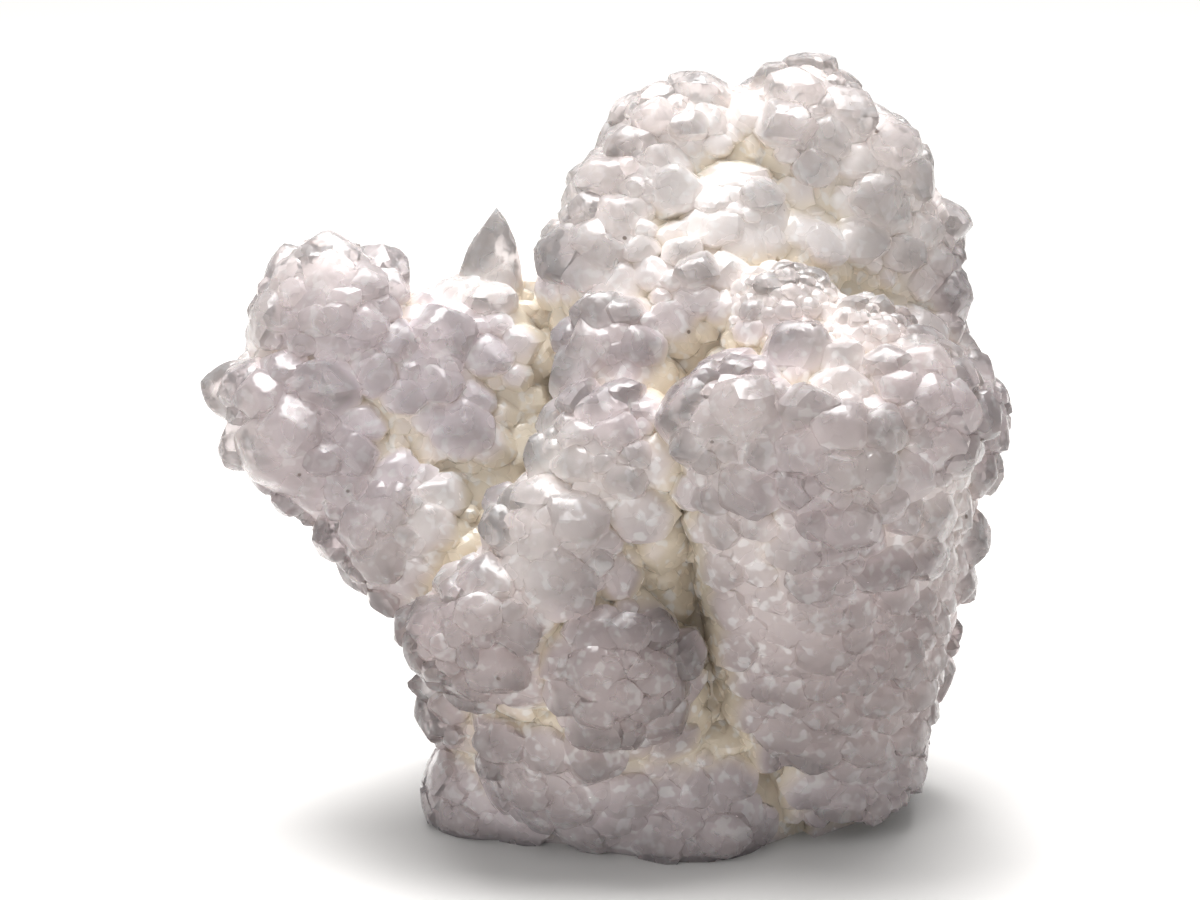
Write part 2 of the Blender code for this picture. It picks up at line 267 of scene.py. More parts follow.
# Each lobe: its root, the centre of its crown, and its radius at the root and at the crown.
LOBES: dict[str, Lobe] = {
    # The fan of lobes on the left.
    "left_low_tip": Lobe(ROOT, (-32.5, -3.0, 44.6), 7.0, 5.2),
    "left_underside": Lobe(ROOT, (-22.0, -5.0, 34.3), 8.0, 6.0),
    "left_mid_tip": Lobe(ROOT, (-31.0, 3.0, 48.0), 7.0, 5.5),
    "left_dome": Lobe(ROOT, (-29.2, 3.0, 53.5), 8.0, 6.6),
    "left_shoulder": Lobe(ROOT, (-20.0, 3.0, 48.0), 8.0, 6.5),
    "left_peak": Lobe(ROOT, (-13.0, 6.0, 50.0), 8.0, 6.0),
    "left_rear": Lobe(ROOT, (-7.0, 10.0, 50.0), 8.0, 5.5),
    # The blade in the middle, from its head down to the ledge in front.
    "centre_head": Lobe(ROOT, (2.5, -5.0, 52.5), 8.0, 4.5),
    "centre_mid": Lobe(ROOT, (1.5, -13.0, 43.0), 8.0, 6.0),
    "centre_slope": Lobe(ROOT, (-4.0, -16.0, 34.5), 7.0, 6.0),
    "centre_ledge": Lobe(ROOT, (-10.5, -18.0, 27.0), 7.0, 5.5),
    "ledge_tip": Lobe(ROOT, (-15.5, -18.5, 25.0), 5.0, 3.0),
    "ledge_right": Lobe(ROOT, (1.0, -19.0, 22.5), 7.0, 6.0),
    # The foot.
    "foot_front": Lobe((10.0, -6.0, 4.0), (-4.0, -11.5, 11.0), 11.0, 7.8),
    "foot_left": Lobe((8.0, -4.0, 3.0), (-12.0, -6.0, 3.0), 10.0, 5.8),
    "foot_left_upper": Lobe((8.0, -4.0, 8.0), (-12.8, -7.0, 14.0), 8.0, 4.5),
    "foot_middle": Lobe((14.0, -2.0, 3.0), (10.0, -10.5, 3.0), 11.0, 7.5),
    "heart": Lobe((10.0, 0.0, 3.0), (8.0, 2.0, 30.0), 13.0, 13.0),
    # The thick club on the right, in front.
    "right_club": Lobe((25.0, -3.5, 5.0), (23.8, -9.0, 42.0), 9.0, 13.5),
    "right_heel": Lobe((18.0, -2.0, 3.0), (25.5, 2.0, 3.0), 10.0, 8.0),
    "right_front_left": Lobe((22.0, -8.0, 14.0), (14.5, -17.5, 47.0), 8.0, 5.5),
    "right_front_middle": Lobe((22.0, -8.0, 14.0), (23.5, -19.0, 45.0), 8.0, 6.0),
    "right_front_right": Lobe((22.0, -8.0, 14.0), (31.5, -14.5, 48.5), 8.0, 6.0),
    "right_ridge": Lobe((22.0, -6.0, 14.0), (19.5, -6.0, 55.0), 8.0, 5.5),
    "right_ridge_low": Lobe((22.0, -6.0, 14.0), (27.0, -9.0, 51.5), 8.0, 6.0),
    # The big fan at the back, on the right.
    "rear_face": Lobe(ROOT, (10.5, 1.0, 55.5), 9.0, 7.5),
    "rear_left": Lobe(ROOT, (2.6, 4.0, 61.0), 8.0, 6.0),
    "rear_left_top": Lobe(ROOT, (4.5, 7.0, 66.5), 8.0, 5.5),
    "rear_peak_left": Lobe(ROOT, (8.5, 11.0, 71.5), 8.0, 5.5),
    "rear_saddle": Lobe((12.0, 4.0, 6.0), (15.0, 13.0, 70.5), 9.0, 5.5),
    "rear_peak": Lobe((14.0, 4.0, 6.0), (22.5, 13.0, 72.0), 9.0, 6.5),
    "rear_right_top": Lobe((14.0, 4.0, 6.0), (28.2, 13.0, 67.5), 9.0, 6.3),
    "rear_right": Lobe((16.0, 4.0, 6.0), (31.6, 13.5, 60.0), 9.0, 6.5),
    "rear_right_low": Lobe((18.0, 3.0, 6.0), (32.5, 11.0, 49.5), 9.0, 6.5),
    "far_right": Lobe((20.0, 2.0, 4.0), (38.0, 5.0, 43.0), 8.0, 5.0),
    "far_right_low": Lobe((22.0, 1.0, 4.0), (34.0, 1.0, 30.0), 8.5, 5.5),
    "right_rear_low": Lobe((22.0, 1.0, 4.0), (31.5, 4.0, 17.0), 9.0, 6.0),
    # The side that faces away.
    "back_left": Lobe(ROOT, (-13.0, 17.0, 42.0), 8.0, 7.0),
    "back_middle": Lobe(ROOT, (3.0, 22.0, 47.0), 9.0, 8.0),
    "back_right": Lobe((14.0, 4.0, 6.0), (21.0, 23.0, 52.0), 9.0, 8.0),
    "back_low_left": Lobe(ROOT, (-8.0, 15.0, 20.0), 8.0, 7.0),
    "back_low_right": Lobe((14.0, 2.0, 6.0), (16.0, 20.0, 22.0), 9.0, 8.0),
}

# Low swells that even out the tall fan's face between its lobes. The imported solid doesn't have them.
FACE_SWELLS: dict[str, Lobe] = {
    "rear_face_top": Lobe(ROOT, (14.0, 5.5, 63.0), 8.0, 6.5),
    "rear_face_right": Lobe(ROOT, (21.0, 7.0, 60.5), 8.0, 5.5),
}

# The crystals that stand out: foot, direction, half width, rise to the shoulder, and length of the point.
LANDMARKS: dict[str, Landmark] = {
    "left_peak_point": Landmark((-12.5, 7.0, 54.5), (0.02, 0.05, 1.0), 4.6, 3.5, 9.5),
    "left_dome_cap": Landmark((-29.5, 3.0, 57.5), (-0.1, 0.0, 1.0), 5.6, 3.6, 4.0),
    "left_smooth_egg": Landmark((-32.5, -6.0, 41.5), (-0.8, -0.35, 0.5), 5.2, 4.4, 4.0),
    "left_pale_tip": Landmark((-37.0, 1.0, 46.0), (-0.9, 0.0, 0.35), 4.2, 3.8, 3.6),
    "centre_head_beak": Landmark((2.0, -6.0, 55.0), (-0.6, -0.35, 0.75), 3.8, 3.0, 4.0),
    "centre_head_boulder": Landmark((3.0, -9.0, 50.0), (-0.15, -1.0, 0.25), 6.0, 2.0, 3.4),
    "ledge_blade": Landmark((-12.0, -19.5, 26.0), (-0.95, -0.3, 0.1), 4.4, 3.5, 5.0),
    "ledge_block": Landmark((-8.0, -20.0, 29.0), (-0.3, -0.8, 0.6), 5.2, 1.6, 3.4),
    "ledge_grey_boulder": Landmark((1.5, -21.5, 23.5), (0.05, -1.0, 0.0), 5.2, 1.6, 3.2),
    "right_clear_pair_left": Landmark((10.5, -18.0, 49.0), (-0.55, -0.75, 0.35), 5.2, 2.4, 3.6),
    "right_clear_pair_right": Landmark((16.0, -20.0, 46.5), (-0.1, -0.95, 0.3), 5.0, 2.4, 3.4),
    "right_grey_spade": Landmark((23.0, -22.5, 43.0), (0.0, -1.0, 0.2), 5.6, 1.4, 3.4),
    "right_corner_block": Landmark((32.5, -15.5, 51.5), (0.3, -0.35, 0.9), 5.2, 3.2, 3.0),
    "rear_peak_cap": Landmark((22.0, 12.5, 74.0), (0.0, -0.05, 1.0), 6.2, 3.6, 4.2),
    "rear_left_knuckle": Landmark((3.5, 1.0, 58.0), (-0.8, -0.45, 0.35), 4.8, 1.6, 3.4),
    "foot_left_spike": Landmark((-16.0, -9.0, 16.5), (-0.95, -0.1, 0.15), 2.8, 2.0, 3.6),
}


@dataclass
class Growth:
    """Where the lobes stand and which spots on them are open, in millimetres.

    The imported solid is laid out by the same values. Its box's middle, in the cluster's own layout, goes
    to the origin.
    """

    box_middle: Point = (0.98, 3.40, 0.0)
    lowest_foot: float = 2.0
    lobes: dict[str, Lobe] = field(default_factory=lambda: dict(LOBES))
    landmarks: dict[str, Landmark] = field(default_factory=lambda: dict(LANDMARKS))

    def evened(self) -> dict[str, Lobe]:
        """The lobes, and the swells that even out the tall fan's face."""
        return self.lobes | FACE_SWELLS

    def depths(self, points: Array) -> Array:
        """How far each point lies inside each lobe.

        On a lobe, the nearest point of its axis is root + t * (crown - root) with t held between 0 and 1,
        and the depth is the radius there less the distance to it.

        Args:
            points: places in the cluster's own layout, a row each.

        Returns:
            A row for each lobe and a column for each point, negative outside the lobe.
        """
        found = []
        for lobe in self.lobes.values():
            along = np.subtract(lobe.crown, lobe.root)
            share = np.clip((points - lobe.root) @ along / (along @ along), 0.0, 1.0)
            nearest = np.array(lobe.root) + share[:, None] * along
            radius = blend(lobe.root_radius, lobe.crown_radius, share)
            found.append(radius - np.linalg.norm(points - nearest, axis=1))
        return np.array(found)

    def spots_on(self, lobe: Lobe, step: float) -> tuple[Array, Array, Array, Array]:
        """A grid over one lobe, by the way along it and the angle round it.

        Up to the crown's centre the profile is the straight taper; past it, it is the crown's quarter
        circle, where the normal rises by the way beyond the centre over the radius.

        Args:
            lobe: the lobe to cover.
            step: the grid's spacing.

        Returns:
            Places, outward normals, the lobe's direction and the share of the way to the crown.
        """
        length = np.linalg.norm(np.subtract(lobe.crown, lobe.root))
        axis = unit(np.subtract(lobe.crown, lobe.root))
        side, other = square_to(axis)
        ways = np.arange(0.0, length + lobe.crown_radius * np.pi / 2, step)
        angles = np.arange(0.0, 2 * np.pi, step / lobe.crown_radius)
        way, angle = (grid.ravel() for grid in np.meshgrid(ways, angles))
        share = np.clip(way / length, 0.0, 1.0)
        rise = np.maximum(way - length, 0.0) / lobe.crown_radius
        outward = np.outer(np.cos(angle), side) + np.outer(np.sin(angle), other)
        normal = outward * np.cos(rise)[:, None] + np.outer(np.sin(rise), axis)
        place = np.array(lobe.root) + np.outer(share * length, axis)
        place += normal * np.asarray(blend(lobe.root_radius, lobe.crown_radius, share))[:, None]
        return place, normal, np.broadcast_to(axis, place.shape), share

    def open_spots(self, step: float, buried: float) -> tuple[Array, Array, Array, Array, Array]:
        """The grid spots of all lobes that lie on the outside of the whole.

        Args:
            step: the grid's spacing.
            buried: how deep in another lobe a spot may lie.

        Returns:
            What spots_on gives for them, and the number of each one's lobe.
        """
        kinds: list[list[Array]] = [[], [], [], [], []]
        for number, lobe in enumerate(self.lobes.values()):
            found = self.spots_on(lobe, step)
            for kind, values in zip(kinds, (*found, np.full(len(found[0]), number))):
                kind.append(values)
        place, normal, along, share, owner = (np.concatenate(kind) for kind in kinds)
        outside = (self.depths(place) > buried).sum(axis=0) == 0
        outside &= place[:, 2] > self.lowest_foot
        return place[outside], normal[outside], along[outside], share[outside], owner[outside]


@dataclass(frozen=True)
class Tier:
    """One size of crystal in the coat: its half widths, and the share of the spots that are tried."""

    half_width: tuple[float, float]
    tried: float


@dataclass
class Coat:
    """The crystals that cover the stone: the landmarks, large ones, and smaller ones between them.

    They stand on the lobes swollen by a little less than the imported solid's crystals are tall, so that their
    tops make one low, uneven skin, as the real ones do.
    """

    growth: Growth = field(default_factory=Growth)
    seed: int = 21
    # How far the lobes swell, the spacing of the spots, and how deep in another lobe a spot may lie.
    swelling: float = 1.7
    step: float = 1.1
    buried: float = 0.4
    # The closest that two feet may stand, as a share of the sum of their half widths.
    closest: float = 0.55
    tiers: tuple[Tier, ...] = (Tier((3.2, 4.2), 0.05), Tier((2.4, 3.1), 0.25), Tier((1.5, 2.2), 1.0))
    # The lobes with crumbly growth, and the size of its crystals as a share of the usual one.
    fine_lobes: tuple[str, ...] = ("right_ridge", "right_ridge_low")
    fine_share: float = 0.5
    # Crystals grow bolder over this stretch of their lobe, as shares of its length, and over these heights.
    crown: tuple[float, float] = (0.7, 0.9)
    calm: tuple[float, float] = (9.0, 13.0)
    # On the flanks, then on the crowns: the size, the lean along the lobe, the random tilt, and the
    # point's length and the rise to the shoulder as shares of the half width.
    size_share: tuple[float, float] = (0.9, 1.0)
    lean: tuple[float, float] = (0.28, 0.3)
    tilt: tuple[float, float] = (0.08, 0.2)
    point: tuple[float, float] = (0.18, 0.42)
    rise: tuple[float, float] = (0.07, 0.18)
    # From the least to the most: how the rise and the point vary, how flat a crystal is, and how far its
    # tip is shifted.
    rise_spread: tuple[float, float] = (-0.4, 2.0)
    point_spread: tuple[float, float] = (0.6, 1.3)
    flatness: tuple[float, float] = (0.65, 1.0)
    shift: tuple[float, float] = (-0.2, 0.2)
    # The landmarks all have one turn, flatness and shift.
    landmark_turn: float = 0.4
    landmark_flatness: float = 0.92
    landmark_shift: tuple[float, float] = (0.08, -0.05)
    # A crystal of this half width or more counts as large. The landmarks, the large crystals and the small
    # ones each have their own sharpness of edge.
    bold_from: float = 2.3
    sharpness: tuple[float, float, float] = (8.0, 18.0, 14.0)

    def swollen(self) -> Growth:
        """The same lobes and the face's swells, each with a slightly larger radius."""
        evened = self.growth.evened().items()
        return Growth(lobes={name: lobe.swollen(self.swelling) for name, lobe in evened})

    def planted(self) -> Crystals:
        """A crystal on every open spot that none planted before it crowds, the large ones first.

        Two crystals crowd each other where their feet are closer than closest times the sum of their half
        widths. They are bold on the crowns, and smaller, flatter and more even on the flanks and near the
        foot.

        Returns:
            The crystals, without the landmarks.
        """
        rng = np.random.default_rng(self.seed)
        lobes = self.swollen()
        place, normal, along, share, owner = lobes.open_spots(self.step, self.buried)
        names = list(lobes.lobes)
        fine = np.isin(owner, [names.index(name) for name in self.fine_lobes])
        crown = smooth_step(*self.crown, share) * smooth_step(*self.calm, place[:, 2])
        crown[np.isin(owner, [names.index(name) for name in FACE_SWELLS])] = 0.0
        scale = np.where(fine, self.fine_share, blend(*self.size_share, crown))
        crown = np.where(fine, 1.0, crown)
        marks = list(self.growth.landmarks.values())
        feet = np.vstack([[mark.foot for mark in marks], np.zeros_like(place)])
        widths = np.concatenate([[mark.half_width for mark in marks], np.zeros(len(place))])
        count, spots = len(marks), []
        for tier in self.tiers:
            for spot in rng.permutation(len(place))[: int(tier.tried * len(place))]:
                size = rng.uniform(*tier.half_width) * scale[spot]
                gaps = np.linalg.norm(feet[:count] - place[spot], axis=1)
                if (gaps > self.closest * (widths[:count] + size)).all():
                    feet[count], widths[count] = place[spot], size
                    spots.append(spot)
                    count += 1
        size = widths[len(marks) : count]
        many = len(size)
        crown = crown[spots]
        lean = normal[spots] + blend(*self.lean, crown)[:, None] * along[spots]
        tilt = blend(*self.tilt, crown)[:, None]
        return Crystals(
            place[spots],
            unit(lean + tilt * rng.normal(0, 1.0, (many, 3))),
            size,
            size * blend(*self.rise, crown) * rng.uniform(*self.rise_spread, many),
            size * blend(*self.point, crown) * rng.uniform(*self.point_spread, many),
            rng.uniform(0, np.pi, many),
            rng.uniform(*self.flatness, many),
            rng.uniform(*self.shift, (many, 2)),
        )

    def groups(self) -> list[Crystals]:
        """The landmarks, the large crystals and the small ones, each group with its own sharpness.

        Returns:
            Those three groups.
        """
        form = (self.landmark_turn, self.landmark_flatness, self.landmark_shift)
        rows = [
            (mark.foot, unit(mark.axis), mark.half_width, mark.rise, mark.point, *form)
            for mark in self.growth.landmarks.values()
        ]
        landmarks = Crystals(*(np.array(column, float) for column in zip(*rows)))
        coat = self.planted()
        bold = coat.half_width >= self.bold_from
        groups = [landmarks, coat.chosen(bold), coat.chosen(~bold)]
        for group, sharpness in zip(groups, self.sharpness):
            group.sharpness = sharpness
        return groups


def mesh_from(name: str, corners: Array, triangles: Array) -> bpy.types.Mesh:
    """A mesh of triangles, filled from whole arrays.

    Args:
        name: the mesh's name.
        corners: places in millimetres, a row each.
        triangles: the numbers of three corners, a row for each triangle.

    Returns:
        The mesh, in metres.
    """
    mesh = bpy.data.meshes.new(name)
    mesh.vertices.add(len(corners))
    mesh.vertices.foreach_set("co", np.asarray(corners * MM, np.float32).ravel())
    mesh.loops.add(3 * len(triangles))
    mesh.loops.foreach_set("vertex_index", np.asarray(triangles, np.int32).ravel())
    mesh.polygons.add(len(triangles))
    mesh.polygons.foreach_set("loop_start", np.arange(0, 3 * len(triangles), 3, dtype=np.int32))
    mesh.update(calc_edges=True)
    return mesh


def round_mesh(fineness: int) -> tuple[Array, Array]:
    """The corners and triangles of a ball, made from an icosahedron.

    Args:
        fineness: Blender's number of subdivisions, where one is the icosahedron itself.

    Returns:
        The corners' directions, and the triangles.
    """
    ball = bmesh.new()
    bmesh.ops.create_icosphere(ball, subdivisions=fineness, radius=1.0)
    directions = unit(np.array([corner.co for corner in ball.verts]))
    triangles = np.array([[corner.index for corner in face.verts] for face in ball.faces])
    ball.free()
    return directions, triangles


def lobe_surface(
    lobe: Lobe, sides: int = 24, rings: int = 6, last_turn: float = 84.0
) -> tuple[Array, Array]:
    """One lobe as a closed skin: a circle carried along its axis, with a rounded crown.

    The circle's centre and radius run straight from the root to the crown, and then by the cosine and
    sine of a quarter turn to the end.

    Args:
        lobe: the lobe.
        sides: corners of the circle.
        rings: circles over the crown.
        last_turn: how far over the crown the last circle lies, in degrees.

    Returns:
        Corners and triangles.
    """
    axis = unit(np.subtract(lobe.crown, lobe.root))
    side, other = square_to(axis)
    turns = np.radians(np.linspace(0.0, last_turn, rings))
    centres = np.vstack([lobe.root, np.array(lobe.crown) + np.outer(lobe.crown_radius * np.sin(turns), axis)])
    radii = np.concatenate([[lobe.root_radius], lobe.crown_radius * np.cos(turns)])
    angles = 2 * np.pi * np.arange(sides) / sides
    spread = np.outer(np.cos(angles), side) + np.outer(np.sin(angles), other)
    circles = centres[:, None] + radii[:, None, None] * spread[None]
    ends = np.vstack([lobe.root, np.array(lobe.crown) + axis * lobe.crown_radius])
    corners = np.vstack([circles.reshape(-1, 3), ends])
    now, after = np.arange(sides), (np.arange(sides) + 1) % sides
    first, last = len(circles) * sides, len(circles) * sides + 1
    faces = [np.stack([np.full(sides, first), after, now], axis=1)]
    for level in range(len(circles) - 1):
        low, high = level * sides, (level + 1) * sides
        faces.append(np.stack([low + now, low + after, high + after], axis=1))
        faces.append(np.stack([low + now, high + after, high + now], axis=1))
    top = (len(circles) - 1) * sides
    faces.append(np.stack([top + now, top + after, np.full(sides, last)], axis=1))
    return corners, np.concatenate(faces)


def evaluated(thing: bpy.types.Object) -> bpy.types.Mesh:
    """A new mesh with the object's modifiers in it."""
    graph = bpy.context.evaluated_depsgraph_get()
    return bpy.data.meshes.new_from_object(thing.evaluated_get(graph), depsgraph=graph)


def placed(name: str, mesh: bpy.types.Mesh) -> bpy.types.Object:
    """An object for the mesh, at the origin, in the scene."""
    thing = bpy.data.objects.new(name, mesh)
    bpy.context.scene.collection.objects.link(thing)
    return thing


def corners_of(mesh: bpy.types.Mesh) -> Array:
    """The mesh's corners, a row each, in metres."""
    points = np.empty(3 * len(mesh.vertices), np.float32)
    mesh.vertices.foreach_get("co", points)
    return points.reshape(-1, 3)


@dataclass
class Density:
    """How much stone lies round each place, from a grid of small cells that are stone or air.

    The grid's corners and cells are in millimetres. A crystal's cells are looked for as far from its
    centre as its farthest face is, times crystal_reach.
    """

    low: Point = (-52.0, -40.0, -6.0)
    high: Point = (52.0, 40.0, 92.0)
    cell: float = 0.6
    crystal_reach: float = 1.25
    shape: tuple[int, ...] = field(init=False)
    stone: Array = field(init=False)

    def __post_init__(self) -> None:
        """Starts with air in every cell."""
        self.shape = tuple(math.ceil((high - low) / self.cell) for low, high in zip(self.low, self.high))
        self.stone = np.zeros(self.shape, np.float32)

    def block(self, centre: Array, reach: float) -> tuple[tuple[slice, ...], Array]:
        """The cells within reach of a centre along each axis.

        Args:
            centre: a place in the cluster's own layout.
            reach: how far to go each way.

        Returns:
            The cells' place in the grid, and their middles.
        """
        first = np.clip(((centre - reach - self.low) / self.cell).astype(int), 0, np.array(self.shape) - 1)
        last = np.clip(((centre + reach - self.low) / self.cell).astype(int) + 2, 1, self.shape)
        ways = [low + (np.arange(a, b) + 0.5) * self.cell for low, a, b in zip(self.low, first, last)]
        cells = tuple(slice(a, b) for a, b in zip(first, last))
        return cells, np.stack(np.meshgrid(*ways, indexing="ij"), axis=-1)

    def add_lobe(self, lobe: Lobe) -> None:
        """Fills the cells inside a lobe.

        Args:
            lobe: the lobe, whose radius at each cell is that of the nearest point of its axis.
        """
        root, crown = np.array(lobe.root), np.array(lobe.crown)
        widest = max(lobe.root_radius, lobe.crown_radius)
        cells, places = self.block((root + crown) / 2, np.linalg.norm(crown - root) / 2 + widest)
        along = crown - root
        share = np.clip((places - root) @ along / (along @ along), 0.0, 1.0)
        gap = np.linalg.norm(places - root - share[..., None] * along, axis=-1)
        inside = gap < blend(lobe.root_radius, lobe.crown_radius, share)
        self.stone[cells] = np.maximum(self.stone[cells], inside)

    def add_crystals(self, crystals: Crystals) -> None:
        """Fills the cells inside each crystal, where the sum of powers that rounds it is under one.

        Args:
            crystals: the crystals.
        """
        for centre, normals, distances in zip(*crystals.planes()):
            cells, places = self.block(centre, self.crystal_reach * distances.max())
            facing = np.maximum((places - centre) @ normals.T / distances, 0.0)
            inside = (facing**crystals.sharpness).sum(axis=-1) < 1.0
            self.stone[cells] = np.maximum(self.stone[cells], inside)

    def near(self, points: Array, spread: float) -> Array:
        """The share of stone round each point, weighted by a bell curve.

        The bell curve is applied as a product in the frequency domain, exp(-2 (pi f spread)^2), and the
        points are read between the eight nearest cells.

        Args:
            points: places in the cluster's own layout, a row each.
            spread: the bell curve's standard deviation.

        Returns:
            A share for each point.
        """
        waves = np.fft.rfftn(self.stone)
        for axis, length in enumerate(self.shape):
            turns = np.fft.rfftfreq(length) if axis == 2 else np.fft.fftfreq(length)
            falloff = np.exp(-2.0 * (np.pi * turns * spread / self.cell) ** 2)
            waves *= falloff.reshape([-1 if axis == other else 1 for other in range(3)])
        soft = np.fft.irfftn(waves, self.shape)
        place = (points - self.low) / self.cell - 0.5
        first = np.clip(place.astype(int), 0, np.array(self.shape) - 2)
        part = place - first
        total = np.zeros(len(points))
        for step in np.ndindex(2, 2, 2):
            weight = np.prod(np.where(step, part, 1.0 - part), axis=1)
            total += weight * soft[tuple((first + step).T)]
        return total


@dataclass
class Stone:
    """The cluster as two closed skins: its clear crystals, and the milky stone that shows through them.

    Lengths are in millimetres. The two pieces' feet are cut flat at their grounds, the heart's a little
    higher, so that it stays inside the crystals.
    """

    growth: Growth = field(default_factory=Growth)
    density: Density = field(default_factory=Density)
    most_triangles: int = 195_000
    # Edges sharper than this many degrees stay sharp, and the rest are shaded smooth.
    crease_angle: float = 28.0
    # How finely the landmarks, the large crystals and the small ones are divided.
    fineness: tuple[int, ...] = (4, 3, 2)
    bulk_spread: float = 4.5
    crystals_ground: float = 0.0
    heart_ground: float = 0.5
    block_depth: float = 40.0
    block_half: float = 80.0

    def shapes(self) -> list[bpy.types.Object]:
        """Every swollen lobe and every crystal as an object of its own, and as stone in the density.

        Returns:
            The objects, which still cross each other.
        """
        coat = Coat(self.growth)
        groups = coat.groups()
        LOG.info("crystals: %s", ", ".join(str(len(group.half_width)) for group in groups))
        made = []
        for name, lobe in coat.swollen().lobes.items():
            corners, triangles = lobe_surface(lobe)
            made.append(placed(f"lobe_{name}", mesh_from(name, corners - self.growth.box_middle, triangles)))
            self.density.add_lobe(lobe)
        for group, fineness in zip(groups, self.fineness):
            directions, triangles = round_mesh(fineness)
            for corners in group.surfaces(directions) - self.growth.box_middle:
                made.append(placed("crystal", mesh_from("crystal", corners, triangles)))
            self.density.add_crystals(group)
        return made

    def foot_block(self, ground: float) -> bpy.types.Object:
        """The block that cuts the foot flat: a square carried straight up to the ground.

        Args:
            ground: the block's top.

        Returns:
            The block.
        """
        low, high, half = -self.block_depth, ground, self.block_half
        square = np.array([(-half, -half), (half, -half), (half, half), (-half, half)])
        corners = np.vstack([np.c_[square, np.full(4, low)], np.c_[square, np.full(4, high)]])
        sides = [(k, (k + 1) % 4, 4 + (k + 1) % 4) for k in range(4)]
        sides += [(k, 4 + (k + 1) % 4, 4 + k) for k in range(4)]
        caps = [(0, 2, 1), (0, 3, 2), (4, 5, 6), (4, 6, 7)]
        return placed("foot_block", mesh_from("foot_block", corners, np.array(sides + caps)))

    def fused(self, shapes: list[bpy.types.Object], ground: float) -> bpy.types.Mesh:
        """All shapes joined, cut flat at the ground, and thinned to most_triangles.

        Args:
            shapes: the objects, which are removed.
            ground: the foot's height.

        Returns:
            The skin, with the bubbles that joining leaves inside.
        """
        first, *others = shapes
        block = self.foot_block(ground)
        group = bpy.data.collections.new("joined_shapes")
        for other in others:
            group.objects.link(other)
        join = first.modifiers.new("join_crystals", "BOOLEAN")
        join.operation = "UNION"
        join.solver = "MANIFOLD"
        join.operand_type = "COLLECTION"
        join.collection = group
        foot = first.modifiers.new("flat_foot", "BOOLEAN")
        foot.operation = "DIFFERENCE"
        foot.solver = "MANIFOLD"
        foot.object = block
        whole = placed("stone_whole", evaluated(first))
        triangles = sum(len(face.vertices) - 2 for face in whole.data.polygons)
        LOG.info("joined: %d triangles", triangles)
        thin = whole.modifiers.new("thin", "DECIMATE")
        thin.ratio = min(1.0, self.most_triangles / triangles)
        mesh = evaluated(whole)
        bpy.data.collections.remove(group)
        for helper in (first, *others, block, whole):
            bpy.data.objects.remove(helper, do_unlink=True)
        return mesh

    def outer_only(self, mesh: bpy.types.Mesh) -> None:
        """Removes the closed bubbles that joining leaves inside the stone.

        Each corner takes the lowest number among its neighbours' until nothing changes, so that every
        closed body ends up with one number, and the body with most corners is kept.

        Args:
            mesh: the skin, which is changed.
        """
        ends = np.empty(2 * len(mesh.edges), np.int32)
        mesh.edges.foreach_get("vertices", ends)
        ends = ends.reshape(-1, 2)
        label = np.arange(len(mesh.vertices))
        while True:
            lowest = label[ends].min(axis=1)
            changed = label.copy()
            np.minimum.at(changed, ends[:, 0], lowest)
            np.minimum.at(changed, ends[:, 1], lowest)
            changed = changed[changed]
            if (changed == label).all():
                break
            label = changed
        kept = label == np.bincount(label).argmax()
        LOG.info("bubbles: %d corners dropped", int((~kept).sum()))
        shape = bmesh.new()
        shape.from_mesh(mesh)
        shape.verts.ensure_lookup_table()
        bmesh.ops.delete(shape, geom=[shape.verts[k] for k in np.flatnonzero(~kept)], context="VERTS")
        bmesh.ops.triangulate(shape, faces=shape.faces)
        shape.to_mesh(mesh)
        shape.free()

    def measure(self, mesh: bpy.types.Mesh) -> None:
        """Stores the bulk at each corner: the share of stone within a few millimetres of it.

        A flat face has one half, a tip or a ridge less, and a valley more.

        Args:
            mesh: the skin, in metres and round the origin.
        """
        values = self.density.near(corners_of(mesh) / MM + self.growth.box_middle, self.bulk_spread)
        LOG.info("bulk: %s", np.round(np.percentile(values, (2, 25, 50, 75, 98)), 2))
        mesh.attributes.new("bulk", "FLOAT", "POINT").data.foreach_set("value", values.astype(np.float32))

    def dressed(self, name: str, mesh: bpy.types.Mesh, finish: bpy.types.Material) -> bpy.types.Object:
        """A piece of the stone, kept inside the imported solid's box and drawn in its place.

        Args:
            name: the piece's name.
            mesh: its joined skin.
            finish: its material.

        Returns:
            The piece, riding on the root body.
        """
        mesh.name = name
        self.outer_only(mesh)
        held = np.clip(corners_of(mesh), np.array(CAD_BOX[0]), np.array(CAD_BOX[1]))
        mesh.vertices.foreach_set("co", held.astype(np.float32).ravel())
        mesh.update()
        mesh.set_sharp_from_angle(angle=math.radians(self.crease_angle))
        mesh.materials.clear()
        mesh.materials.append(finish)
        piece = placed(name, mesh)
        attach(piece, "root")
        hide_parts("calcite_cluster")
        return piece

    def core_shapes(self) -> list[bpy.types.Object]:
        """The lobes without crystals, not swollen, and the face's swells.

        Returns:
            An object for each, still crossing each other.
        """
        made = []
        for name, lobe in self.growth.evened().items():
            corners, triangles = lobe_surface(lobe)
            made.append(placed(f"core_{name}", mesh_from(name, corners - self.growth.box_middle, triangles)))
        return made

    def build(self) -> list[bpy.types.Object]:
        """The crystals, whose material reads the bulk, and the milky stone inside them.

        Returns:
            The two pieces.
        """
        skin = self.fused(self.shapes(), self.crystals_ground)
        crystals = self.dressed("calcite_crystals", skin, CalciteFinish().material())
        self.measure(crystals.data)
        core = self.fused(self.core_shapes(), self.heart_ground)
        heart = self.dressed("calcite_milky_heart", core, MilkFinish().material())
        return [crystals, heart]


